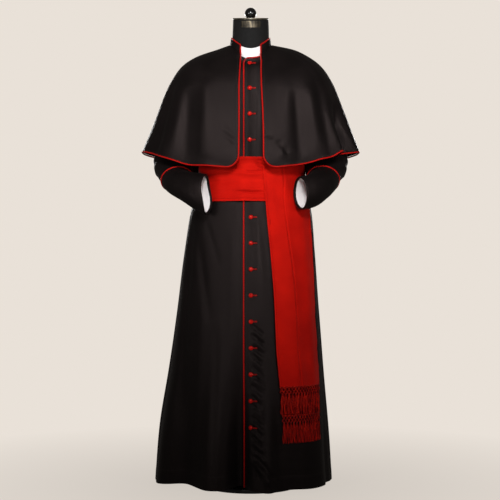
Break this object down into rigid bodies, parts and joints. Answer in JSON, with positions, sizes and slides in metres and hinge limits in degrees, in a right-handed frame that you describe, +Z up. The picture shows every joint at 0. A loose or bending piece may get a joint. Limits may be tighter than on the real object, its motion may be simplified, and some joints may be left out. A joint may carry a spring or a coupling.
{
  "type": "cassock on a dress form",
  "caption": "long black clerical cassock with red piping, covered buttons, open shoulder cape, stand collar and fringed waist sash, worn by a limbless dress form on a round base",
  "frame": {"origin": "the middle of the round base's flat underside, where it meets the floor", "axes": "Z up along the pole, -Y the front of the garment, +X the wearer's left"},
  "size_m": [0.7448, 0.5096, 1.6228],
  "materials": {
    "black_wool": "fine wool gabardine with a soft satin sheen",
    "red_cord": "silk-covered cord and buttons",
    "red_silk": "ribbed silk",
    "white_linen": "plain white lining cloth",
    "white_tab": "smooth white",
    "black_jersey": "tight matt jersey",
    "neck_cap_wood": "grey-brown, satin",
    "black_lacquer": "glossy",
    "black_steel": "black coated"
  },
  "bodies": {
    "root": {"left_front": "black_wool", "right_front": "black_wool", "left_back": "black_wool", "right_back": "black_wool", "left_front_skirt": "black_wool", "right_front_skirt": "black_wool", "left_back_skirt": "black_wool", "right_back_skirt": "black_wool", "collar": "black_wool", "left_cape": "black_wool", "right_cape": "black_wool", "left_sleeve": "black_wool", "left_sleeve_lower": "black_wool", "right_sleeve": "black_wool", "right_sleeve_lower": "black_wool", "left_cuff": "black_wool", "right_cuff": "black_wool", "front_piping": "red_cord", "collar_piping": "red_cord", "left_cape_piping": "red_cord", "right_cape_piping": "red_cord", "left_cuff_piping": "red_cord", "right_cuff_piping": "red_cord", "button_01": "red_cord", "button_02": "red_cord", "button_03": "red_cord", "button_04": "red_cord", "button_05": "red_cord", "button_06": "red_cord", "button_07": "red_cord", "button_08": "red_cord", "button_09": "red_cord", "button_10": "red_cord", "button_11": "red_cord", "button_12": "red_cord", "button_13": "red_cord", "sash_band": "red_silk", "front_tail": "red_silk", "rear_tail": "red_silk", "front_fringe": "red_silk", "rear_fringe": "red_silk", "left_cuff_lining": "white_linen", "right_cuff_lining": "white_linen", "collar_tab": "white_tab", "dress_form": "black_jersey", "neck_cap": "neck_cap_wood", "knob": "black_lacquer", "stand_pole": "black_steel", "stand_base": "black_steel"}
  },
  "joints": []
}
